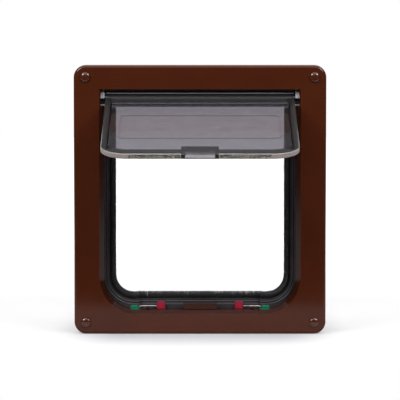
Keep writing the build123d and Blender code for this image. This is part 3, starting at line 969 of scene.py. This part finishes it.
@dataclass
class DraughtBrush:
    """The brush behind the flap, with its ridged binding.

    A run goes down each side and round the lower corner, and one more along the sill.
    """

    shelf: FinishShelf
    tip_half: float = 90.2 * MM
    tip_low: float = -100.5 * MM
    root_corner: float = 32.6 * MM
    tip_corner: float = 18.1 * MM
    pitch: float = 0.38 * MM
    thickness: float = 0.55 * MM
    side_rows: int = 7
    centre_rows: int = 5
    girth: Span = (0.8, 1.1)
    uneven: float = 0.14
    lean: float = 0.4 * MM
    lean_share: Triple = (1.0, 0.5, 1.0)
    bound: float = 0.54
    held: float = 0.06
    ridges: int = 3
    ridge_steps: int = 8
    ridge_depth: float = 0.55 * MM
    ridge_first: float = 1.1
    ridge_loss: float = 0.6
    binding_round: float = 0.3 * MM
    binding_bevel: float = 0.03
    lap: float = 1.6 * MM
    stations: int = 60
    end_share: float = 0.001

    def build(self) -> None:
        """Makes the bristles and the binding of all three runs and dresses their holders."""
        for side in Side:
            self.side_run(side)
            self.shelf.dress_node(f"brush_holder_{side.word}", Look.DARK_GREY)
        self.centre_run()
        self.shelf.dress_node("brush_holder_centre", Look.DARK_GREY)

    @staticmethod
    def j_line(way: Array, half: float, low: float, top: float, corner: float, end: float) -> Array:
        """A line down the side, round the lower corner and in along the sill.

        The way runs 0 to 1 down the side, 1 to 2 round the quarter circle and 2 to 3 along the
        sill, and each stretch adds its own share to X and Z.

        Args:
            way: Where on the line, from 0 to 3.
            half: X of the side.
            low: Z of the sill.
            top: Z of the upper end.
            corner: Radius of the corner.
            end: X of the inner end.

        Returns:
            X and Z of each point.
        """
        down = np.clip(way, 0, 1)
        turn = np.clip(way - 1, 0, 1) * np.pi / 2
        along = np.clip(way - 2, 0, 1)
        x = half - corner * (1 - np.cos(turn)) - (half - corner - end) * along
        z = top - (top - low - corner) * down - corner * np.sin(turn)
        return np.stack([x, z], -1)

    def bristles(self, name: str, roots: Array, tips: Array, seed: int) -> bpy.types.Object:
        """Bristles on given lines, each a little short, bent and of its own shade.

        Each one starts just inside the binding, and is cut short by a share of its length that
        goes with the square of a chance number, as its shade does.

        Args:
            name: The piece's name.
            roots: Where each line starts.
            tips: Where each would end at full length.
            seed: Seed of the unevenness.

        Returns:
            The new object.
        """
        chance = np.random.default_rng(seed)
        count = len(roots)
        starts = roots + (tips - roots) * (self.bound - self.held)
        short = self.uneven * chance.random(count) ** 2
        cut_tips = tips + (starts - tips) * short[:, None]
        bend = chance.normal(0, self.lean / 2, (count, 3)) * self.lean_share
        thickness = self.thickness * chance.uniform(*self.girth, count)
        shade = chance.random(count) ** 2
        return FibreCoat(starts, cut_tips, bend, thickness, shade).piece(name)

    def binding(self, name: str, outer: Array, inner: Array, depth: Span, turn: int) -> bpy.types.Object:
        """The strip that holds the bristles' roots, carried along a run.

        At a share u of the way from the outer line to the inner one, the front lies behind the
        brush's own front by the ridges' depth times 1 less the squared sine of u times pi times
        the number of ridges, and the ridges grow lower inwards. The back is flat, the corners are
        a little rounded and both ends of the run are closed.

        Args:
            name: The piece's name.
            outer: Points of the outer line, X and Z.
            inner: Points of the bristles' tips, X and Z.
            depth: Y of the brush's front and back.
            turn: 1 or -1, the way round in which the faces look outwards.

        Returns:
            The new object.
        """
        front, back = depth
        share = np.linspace(0, 1, self.ridge_steps * self.ridges + 1)
        ridge = np.sin(np.pi * self.ridges * share) ** 2 * (self.ridge_first - self.ridge_loss * share)
        face = front + self.ridge_depth * (1 - ridge)
        small = self.binding_round
        bevel = self.binding_bevel
        across = np.concatenate([share, [1, 1, 1 - bevel, bevel, 0, 0]])
        turn_in = front + self.ridge_depth + small
        deep = np.concatenate([face, [turn_in, back - small, back, back, back - small, turn_in]])
        line = outer[:, None] + self.bound * across[None, :, None] * (inner - outer)[:, None]
        points = np.stack([line[..., 0], np.broadcast_to(deep, line.shape[:2]), line[..., 1]], -1)
        faces = [block[:, ::turn] for block in tube_faces(*line.shape[:2])]
        return mesh_piece(name, points.reshape(-1, 3), faces)

    def rows_of(self, low: Vector, high: Vector, rows: int, along: int) -> Array:
        """Depth of each bristle, in even rows from the brush's front to its back.

        Args:
            low: The brush's lowest corner.
            high: Its highest corner.
            rows: Number of rows.
            along: Number of bristles in a row.

        Returns:
            Y of each bristle, row by row.
        """
        inset = self.thickness / 2
        depth = np.linspace(low.y + inset, high.y - inset, rows)
        return np.repeat(depth[:, None], along, 1)

    def side_run(self, side: Side) -> None:
        """Makes one side's run, square to the line of its holder.

        The bristles stand at even steps of the outer line, each moved on by a chance share of a
        step, and end at the same share of the tips' line.

        Args:
            side: Which side.
        """
        node = f"brush_pile_{side.word}"
        low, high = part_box(node)
        half = max(abs(low.x), abs(high.x))
        end = min(abs(low.x), abs(high.x))
        lengths = [
            high.z - low.z - self.root_corner,
            self.root_corner * np.pi / 2,
            half - self.root_corner - end,
        ]
        marks = np.concatenate([[0], np.cumsum(lengths)]) / sum(lengths)
        along = int(sum(lengths) / self.pitch)
        chance = np.random.default_rng(Seed.SIDE_PLACES.value + side.value)
        step = np.arange(along)[None] + chance.uniform(0, 1, (self.side_rows, along))
        mirror = np.array([side.value, 1])

        def lines(share: Array) -> list[Array]:
            """The outer line and the tips' line of the run.

            Args:
                share: Shares of the run's length.

            Returns:
                X and Z on each of the two lines.
            """
            way = np.interp(share, marks, np.arange(4))
            root = self.j_line(way, half, low.z, high.z, self.root_corner, end)
            tip = self.j_line(way, self.tip_half, self.tip_low, high.z, self.tip_corner, end)
            return [root * mirror, tip * mirror]

        depth = self.rows_of(low, high, self.side_rows, along)
        ends = [
            np.stack([line[..., 0], depth, line[..., 1]], -1).reshape(-1, 3)
            for line in lines(step / along)
        ]
        edge = self.end_share
        between = np.linspace(2 * edge, 1 - 2 * edge, self.stations)
        strip = lines(np.concatenate([[0, edge], between, [1 - edge, 1]]))
        seed = Seed.SIDE_BRISTLES.value + side.value
        soft = self.bristles(f"bristles_{side.word}", *ends, seed)
        stiff = self.binding(f"binding_{side.word}", *strip, (low.y, high.y), side.value)
        self.shelf.dress_piece(soft, Look.BRISTLE, "frame", node)
        self.shelf.dress_piece(stiff, Look.DARK_GREY, "frame", node)

    def centre_run(self) -> None:
        """Makes the upright run along the sill, set back and lapped behind the two others.

        The bristles stand at even steps of X, each moved on by a chance share of a step, and rise
        straight from the block's foot to the tips' height.
        """
        low, high = (Vector(corner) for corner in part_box("brush_pile_centre"))
        low.x -= self.lap
        high.x += self.lap
        along = int((high.x - low.x) / self.pitch)
        chance = np.random.default_rng(Seed.CENTRE_PLACES.value)
        step = np.arange(along)[None] + chance.uniform(0, 1, (self.centre_rows, along))
        x = low.x + (high.x - low.x) * step / along
        depth = self.rows_of(low, high, self.centre_rows, along)
        heights = (low.z, self.tip_low)
        ends = [np.stack([x, depth, np.full_like(x, z)], -1).reshape(-1, 3) for z in heights]
        edge = 2 * self.end_share
        spots = low.x + (high.x - low.x) * np.array([0, edge, 0.5, 1 - edge, 1])
        strip = [np.stack([spots, np.full_like(spots, z)], -1) for z in heights]
        soft = self.bristles("bristles_centre", *ends, Seed.CENTRE_BRISTLES.value)
        stiff = self.binding("binding_centre", *strip, (low.y, high.y), -1)
        self.shelf.dress_piece(soft, Look.BRISTLE, "frame", "brush_pile_centre")
        self.shelf.dress_piece(stiff, Look.DARK_GREY, "frame", "brush_pile_centre")


@dataclass
class Flap:
    """The smoked flap with its hinge rod, magnet and soft edge strips."""

    shelf: FinishShelf
    raised: float = RAISED
    rod_across: float = 3.9 * MM
    rod_bevel: float = 0.4 * MM
    rod_around: int = 32
    pile_pitch: float = 0.34 * MM
    pile_thickness: float = 0.42 * MM
    pile_length: float = 2.5 * MM
    pile_deep: float = 3.8 * MM
    pile_girth: Span = (0.8, 1.2)
    pile_lean: float = 0.5 * MM
    lean_share: Triple = (1.0, 0.2, 0.5)
    pile_clump: float = 1.3 * MM
    clump_stride: int = 1000
    shade_shares: Span = (0.7, 0.45)
    shade_less: float = 0.1
    pile_reach: float = 1.12
    reach_shares: Span = (0.2, 0.15)
    pile_spread: float = 0.4

    def build(self) -> None:
        """Makes the rod and the pile and dresses the rest."""
        self.shelf.dress_node("flap_panel", Look.SMOKED)
        self.shelf.dress_node("flap_magnet", Look.MAGNET)
        self.shelf.dress_node("magnet_plug", Look.LIGHT_GREY)
        self.shelf.dress_piece(self.turned_rod(), Look.STEEL, "flap", "hinge_rod")
        for side in Side:
            self.shelf.dress_piece(self.soft_edge(side), Look.PILE, "flap", f"pile_strip_{side.word}")

    def turned_rod(self) -> bpy.types.Object:
        """The straight rod, turned about the hinge line.

        Its radius is the same all along, less by the bevel at both ends.

        Returns:
            The new object.
        """
        low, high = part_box("hinge_rod")
        r, bevel = self.rod_across / 2, self.rod_bevel
        radii = np.array([r - bevel, r, r, r - bevel])
        spots = np.array([low.x, low.x + bevel, high.x - bevel, high.x])
        rod, faces = turned_surface(radii, spots, self.rod_around)
        middle = (low + high) / 2
        points = np.stack([rod[:, 2], rod[:, 0] + middle.y, rod[:, 1] + middle.z], -1)
        return mesh_piece("turned_hinge_rod", points, faces)

    def soft_edge(self, side: Side) -> bpy.types.Object:
        """Short pile that stands out of the groove in the flap's lower edge.

        The roots lie on a grid at the groove's floor, across the flap's thickness and along
        X, and the tips stand off it along the flap's own length. A clump is a square cell of
        the floor. Fibres of one clump share most of their shade and length, and the outer
        fibres lean out over the groove's lips.

        Args:
            side: Which side.

        Returns:
            The new object.
        """
        low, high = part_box(f"pile_strip_{side.word}")
        middle = np.array((low + high) / 2)
        down = np.array([0.0, -math.sin(self.raised), -math.cos(self.raised)])
        over = np.array([0.0, -math.cos(self.raised), math.sin(self.raised)])
        columns = int((high.x - low.x) / self.pile_pitch)
        rows = int(self.pile_deep / self.pile_pitch)
        chance = np.random.default_rng(Seed.PILE.value + side.value)
        shape = (rows, columns)
        x = (np.arange(columns)[None] + chance.random(shape)) / columns * (high.x - low.x) + low.x
        thick = ((np.arange(rows)[:, None] + chance.random(shape)) / rows - 0.5) * self.pile_deep
        place = thick.ravel()[:, None] * over + (middle - down * self.pile_length / 2)
        place[:, 0] = x.ravel()
        count = rows * columns
        cell = (x // self.pile_clump + self.clump_stride * (thick // self.pile_clump)).ravel()
        cells, own_cell = np.unique(cell, return_inverse=True)
        clump = chance.random(len(cells))[own_cell]
        of_clump, of_own = self.shade_shares
        shade = np.clip(of_clump * clump + of_own * chance.random(count) - self.shade_less, 0, 1)
        of_clump, of_own = self.reach_shares
        reach = self.pile_reach + of_clump * clump + of_own * chance.random(count)
        length = self.pile_length * reach
        tips = place + length[:, None] * down + self.pile_spread * thick.ravel()[:, None] * over
        bend = chance.normal(0, self.pile_lean / 2, (count, 3)) * self.lean_share
        thickness = self.pile_thickness * chance.uniform(*self.pile_girth, count)
        coat = FibreCoat(place, tips, bend, thickness, shade)
        return coat.piece(f"pile_edge_{side.word}")


@dataclass
class HingeAndLock:
    """The bearing blocks, the sliding tabs and the wires that hold them."""

    shelf: FinishShelf

    def build(self) -> None:
        """Dresses the blocks, tabs and wires of both sides."""
        for side in Side:
            self.shelf.dress_node(f"hinge_bearing_{side.word}", Look.BEARING)
            self.shelf.dress_node(f"green_tab_{side.word}", Look.GREEN)
            self.shelf.dress_node(f"red_tab_{side.word}", Look.RED)
            self.shelf.dress_node(f"lock_spring_{side.word}", Look.STEEL)


@dataclass
class Studio:
    """A white sheet, soft lamps on both sides and a long camera in front."""

    camera_elevation: float = math.radians(5.2)
    camera_distance: float = 3.3
    view_width: float = 0.4284
    aim: Triple = (0.0, -0.015, 0.0002)
    sheet_front: float = -0.26
    sheet_back: float = 3.0
    sheet_half: float = 2.5
    sheet_cells: int = 8
    sheet_colour: Colour = (0.56, 0.56, 0.57)
    paper_shade: float = 0.98
    paper_clouds: float = 30.0
    sheet_lift: float = 0.42
    sheet_fade: Span = (0.35, 1.0)
    mirror_fade: Span = (0.35, 0.8)
    mirror_share: float = 0.15
    painted_shadow_depth: float = 0.93
    painted_shadow_front: Span = (-0.19, -0.02)
    painted_shadow_back: Span = (0.05, 0.3)
    painted_shadow_side: Span = (0.08, 0.165)
    lamp_spot: Triple = (1.6, -1.8, 1.6)
    lamp_size: float = 1.0
    lamp_power: float = 45.0
    ceiling_spot: Triple = (0.0, -1.1, 1.5)
    ceiling_size: Span = (3.0, 3.8)
    ceiling_power: float = 57.0
    fill: float = 0.06
    room_level: float = 0.05
    room_behind: Span = (0.78, 0.92)
    room_low: Span = (0.12, 0.40)

    def build(self) -> None:
        """Sets up the sheet, the room, the lamps and the camera."""
        self.lay_sheet()
        self.light_room()
        for side in Side:
            self.hang_lamp(side)
        self.hang_ceiling()
        self.place_camera()
        bpy.context.scene.view_settings.view_transform = "Standard"

    def lay_sheet(self) -> None:
        """Lays the white sheet under the frame: a flat grid with its own soft glow for the eye."""
        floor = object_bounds()[0].z
        cells = np.arange(self.sheet_cells)
        edge = self.sheet_cells + 1
        x, y = np.meshgrid(
            np.linspace(-self.sheet_half, self.sheet_half, edge),
            np.linspace(self.sheet_front, self.sheet_back, edge),
        )
        points = np.stack([x, y, np.full_like(x, floor)], -1).reshape(-1, 3)
        row, column = np.meshgrid(cells, cells, indexing="ij")
        here = (row * edge + column).ravel()
        faces = np.stack([here, here + 1, here + edge + 1, here + edge], -1)
        sheet = mesh_piece("white_sheet", points, [faces])
        sheet.data.materials.append(self.sheet_material())
        sheet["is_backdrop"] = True

    def sheet_material(self) -> bpy.types.Material:
        """White paper with a glow that brings it to white for the eye and keeps the shadows.

        The glow rises with the distance from the middle. It is held back in front of the frame and under
        it, which paints the frame's shadow there, and mirrors show only a share of it, less sideways.

        Returns:
            The material.
        """
        board = NodeBoard("white_paper")
        paper = board.add("ShaderNodeBsdfDiffuse")
        glow = board.add("ShaderNodeEmission")
        both = board.add("ShaderNodeAddShader")
        pale = tuple(self.paper_shade * c for c in self.sheet_colour)
        clouds = board.noise(self.paper_clouds)
        board.join(board.tint(clouds, pale, self.sheet_colour), paper.inputs["Color"])
        apart = board.add("ShaderNodeVectorMath", operation="LENGTH")
        board.join(board.own, apart.inputs[0])
        lift = ramp(board.tree, apart.outputs["Value"], self.sheet_fade, (self.sheet_lift, 1.0))
        x, y, _ = board.parts()
        off = figure(board.tree, "ABSOLUTE", x)
        mirror = ramp(board.tree, off, self.mirror_fade, (self.mirror_share, 0.0))
        # Painted shadow: the glow is held back in front of and under the frame.
        near = ramp(board.tree, y, self.painted_shadow_front, (0.0, 1.0))
        shade = figure(board.tree, "MULTIPLY", near, near)
        aside = ramp(board.tree, off, self.painted_shadow_side, (self.painted_shadow_depth, 0.0))
        beyond = ramp(board.tree, y, self.painted_shadow_back, (1.0, 0.0))
        for share in (aside, beyond):
            shade = figure(board.tree, "MULTIPLY", shade, share)
        lift = figure(board.tree, "MULTIPLY", lift, figure(board.tree, "SUBTRACT", 1.0, shade))
        seen = figure(board.tree, "MULTIPLY", seen_directly(board.tree, mirror), lift)
        board.join(seen, glow.inputs["Strength"])
        board.join(paper.outputs[0], both.inputs[0])
        board.join(glow.outputs[0], both.inputs[1])
        board.join(both.outputs[0], board.out.inputs["Surface"])
        return board.material

    def light_room(self) -> None:
        """Makes the room: white to the eye and through clear parts, dimmer in mirrors.

        The rest gets a soft fill. In mirrors the room is white straight behind the object and
        near the horizon, and fades to its own level upwards, sideways and towards the viewer.
        """
        world = bpy.data.worlds.new("studio")
        world.use_nodes = True
        bpy.context.scene.world = world
        tree = world.node_tree
        back = tree.nodes["Background"]
        back.inputs["Color"].default_value = (1.0, 1.0, 1.0, 1.0)
        way = tree.nodes.new("ShaderNodeTexCoord").outputs["Generated"]
        parts = tree.nodes.new("ShaderNodeSeparateXYZ")
        tree.links.new(way, parts.inputs[0])
        behind = ramp(tree, parts.outputs["Y"], self.room_behind, (0.0, 1.0))
        near = ramp(tree, parts.outputs["Z"], self.room_low, (1.0, 0.0))
        backdrop = figure(tree, "MULTIPLY", behind, near)
        mirror = ramp(tree, backdrop, (0.0, 1.0), (self.room_level, 1.0))
        shown = seen_directly(tree, mirror)
        tree.links.new(figure(tree, "MAXIMUM", shown, self.fill), back.inputs["Strength"])

    def hang_lamp(self, side: Side) -> None:
        """Hangs one softbox in front of the object, above it and to one side.

        Args:
            side: Which side.
        """
        x, y, z = self.lamp_spot
        lamp = bpy.data.lights.new(f"softbox_{side.word}", "AREA")
        lamp.shape = "SQUARE"
        lamp.size = self.lamp_size
        lamp.energy = self.lamp_power
        holder = bpy.data.objects.new(lamp.name, lamp)
        holder.location = (side.value * x, y, z)
        holder.rotation_euler = (-Vector(holder.location)).to_track_quat("-Z", "Y").to_euler()
        bpy.context.scene.collection.objects.link(holder)

    def hang_ceiling(self) -> None:
        """Hangs one wide, weak softbox flat overhead."""
        lamp = bpy.data.lights.new("softbox_ceiling", "AREA")
        lamp.shape = "RECTANGLE"
        lamp.size, lamp.size_y = self.ceiling_size
        lamp.energy = self.ceiling_power
        holder = bpy.data.objects.new(lamp.name, lamp)
        holder.location = self.ceiling_spot
        bpy.context.scene.collection.objects.link(holder)

    def place_camera(self) -> None:
        """Places the camera in front, a little above the middle, at the measured view width."""
        lens = bpy.data.cameras.new("long_lens")
        lens.lens = lens.sensor_width * self.camera_distance / self.view_width
        camera = bpy.data.objects.new(lens.name, lens)
        tilt = self.camera_elevation
        back = Vector((0.0, -math.cos(tilt), math.sin(tilt))) * self.camera_distance
        camera.location = Vector(self.aim) + back
        camera.rotation_euler = (-back).to_track_quat("-Z", "Y").to_euler()
        bpy.context.scene.collection.objects.link(camera)
        bpy.context.scene.camera = camera


def main() -> None:
    """Builds and dresses the whole object, then the studio round it."""
    logging.basicConfig(level=logging.INFO, format="%(name)s: %(message)s")
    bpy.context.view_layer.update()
    shelf = FinishShelf()
    for assembly in (DoorFrame(shelf), DraughtBrush(shelf), Flap(shelf), HingeAndLock(shelf)):
        assembly.build()
        LOG.info("%s done", type(assembly).__name__)
    Studio().build()


if __name__ == "__main__":
    main()
